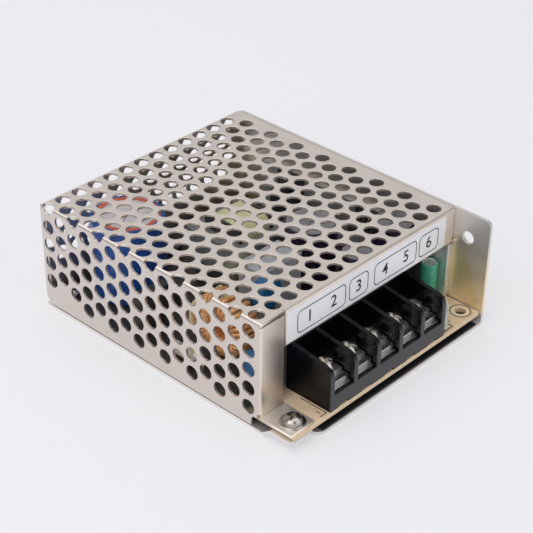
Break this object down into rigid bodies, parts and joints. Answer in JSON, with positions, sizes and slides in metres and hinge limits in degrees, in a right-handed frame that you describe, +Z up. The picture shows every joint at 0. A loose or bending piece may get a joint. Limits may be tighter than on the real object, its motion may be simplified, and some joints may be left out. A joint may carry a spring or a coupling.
{
  "type": "mesh case switching power supply",
  "caption": "Open-frame style switching power supply in a folded steel case with a perforated cover, screw terminals and a voltage trimmer.",
  "frame": {"origin": "centre of the bounding box's underside, on the base's lower face", "axes": "+Z up from the base; +Y from the terminals to the back; +X to the solid upright wall"},
  "size_m": [0.082, 0.099, 0.035],
  "materials": {
    "chassis_steel": "plated, slightly brushed",
    "cover_steel": "plated, satin",
    "label_film": "printed film",
    "board_laminate": "phenolic laminate",
    "black_film": "thin film",
    "block_plastic": "moulded",
    "tinned_contact": "tinned",
    "terminal_steel": "nickel plated",
    "screw_steel": "nickel plated",
    "spreader_aluminium": "milled",
    "device_epoxy": "moulded",
    "output_sleeve": "printed sleeve",
    "inductor_ferrite": "ferrite",
    "ferrite": "ferrite",
    "bobbin_plastic": "moulded",
    "yellow_tape": "polyester tape",
    "bulk_sleeve": "shrink sleeve",
    "thermistor_coat": "epoxy coat",
    "blue_coat": "epoxy coat",
    "fuse_body": "ceramic tube",
    "box_grey": "moulded box",
    "choke_core": "coated ring",
    "copper_wire": "enamelled copper wire",
    "opto_white": "moulded",
    "resistor_coat": "coated",
    "green_sleeve": "shrink sleeve",
    "trimmer_plastic": "moulded",
    "rotor_metal": "plated",
    "led_green": "diffused resin"
  },
  "bodies": {
    "case": {"chassis": "chassis_steel", "cover": "cover_steel", "label_strip": "label_film", "circuit_board": "board_laminate", "insulating_film": "black_film", "terminal_block": "block_plastic", "terminal_contacts": "tinned_contact", "foot_screw": "screw_steel", "board_screws": "screw_steel", "rear_screw": "screw_steel", "device_screws": "screw_steel", "heat_spreader": "spreader_aluminium", "output_rectifier": "device_epoxy", "switching_transistor": "device_epoxy", "output_capacitor_1": "output_sleeve", "output_capacitor_2": "output_sleeve", "output_capacitor_3": "output_sleeve", "output_inductor": "inductor_ferrite", "transformer_core": "ferrite", "transformer_bobbin": "bobbin_plastic", "transformer_winding": "yellow_tape", "bulk_capacitor": "bulk_sleeve", "bridge_rectifier": "device_epoxy", "thermistor": "thermistor_coat", "varistor": "blue_coat", "fuse": "fuse_body", "box_capacitor": "box_grey", "safety_capacitor": "blue_coat", "choke_core": "choke_core", "choke_windings": "copper_wire", "choke_base": "bobbin_plastic", "control_chip": "device_epoxy", "optocoupler": "opto_white", "power_resistors": "resistor_coat", "rectifier_diodes": "device_epoxy", "small_capacitor": "green_sleeve", "trimmer_body": "trimmer_plastic", "indicator_led": "led_green"},
    "trimmer": {"trimmer_rotor": "rotor_metal"},
    "clamp_1": {"clamp_plate_1": "terminal_steel"},
    "screw_1": {"terminal_screw_1": "terminal_steel"},
    "clamp_2": {"clamp_plate_2": "terminal_steel"},
    "screw_2": {"terminal_screw_2": "terminal_steel"},
    "clamp_3": {"clamp_plate_3": "terminal_steel"},
    "screw_3": {"terminal_screw_3": "terminal_steel"},
    "clamp_4": {"clamp_plate_4": "terminal_steel"},
    "screw_4": {"terminal_screw_4": "terminal_steel"},
    "clamp_5": {"clamp_plate_5": "terminal_steel"},
    "screw_5": {"terminal_screw_5": "terminal_steel"}
  },
  "joints": [
    {"name": "trimmer_turn", "type": "hinge", "parent": "case", "child": "trimmer", "pos_m": [0.0271, -0.0383, 0.0085], "axis": [0, 0, 1], "range_deg": [-110, 110]},
    {"name": "clamp_lift_1", "type": "slide", "parent": "case", "child": "clamp_1", "axis": [0, 0, 1], "range_m": [0, 0.0024]},
    {"name": "screw_turn_1", "type": "hinge", "parent": "clamp_1", "child": "screw_1", "pos_m": [-0.02045, -0.041, 0.013], "axis": [0, 0, 1], "range_deg": [0, 1440]},
    {"name": "clamp_lift_2", "type": "slide", "parent": "case", "child": "clamp_2", "axis": [0, 0, 1], "range_m": [0, 0.0024]},
    {"name": "screw_turn_2", "type": "hinge", "parent": "clamp_2", "child": "screw_2", "pos_m": [-0.01095, -0.041, 0.013], "axis": [0, 0, 1], "range_deg": [0, 1440]},
    {"name": "clamp_lift_3", "type": "slide", "parent": "case", "child": "clamp_3", "axis": [0, 0, 1], "range_m": [0, 0.0024]},
    {"name": "screw_turn_3", "type": "hinge", "parent": "clamp_3", "child": "screw_3", "pos_m": [-0.00145, -0.041, 0.013], "axis": [0, 0, 1], "range_deg": [0, 1440]},
    {"name": "clamp_lift_4", "type": "slide", "parent": "case", "child": "clamp_4", "axis": [0, 0, 1], "range_m": [0, 0.0024]},
    {"name": "screw_turn_4", "type": "hinge", "parent": "clamp_4", "child": "screw_4", "pos_m": [0.00805, -0.041, 0.013], "axis": [0, 0, 1], "range_deg": [0, 1440]},
    {"name": "clamp_lift_5", "type": "slide", "parent": "case", "child": "clamp_5", "axis": [0, 0, 1], "range_m": [0, 0.0024]},
    {"name": "screw_turn_5", "type": "hinge", "parent": "clamp_5", "child": "screw_5", "pos_m": [0.01755, -0.041, 0.013], "axis": [0, 0, 1], "range_deg": [0, 1440]}
  ],
  "couplings": [
    {"joint": "screw_turn_1", "follows": "clamp_lift_1", "rad_per_m": 10472},
    {"joint": "screw_turn_2", "follows": "clamp_lift_2", "rad_per_m": 10472},
    {"joint": "screw_turn_3", "follows": "clamp_lift_3", "rad_per_m": 10472},
    {"joint": "screw_turn_4", "follows": "clamp_lift_4", "rad_per_m": 10472},
    {"joint": "screw_turn_5", "follows": "clamp_lift_5", "rad_per_m": 10472}
  ]
}
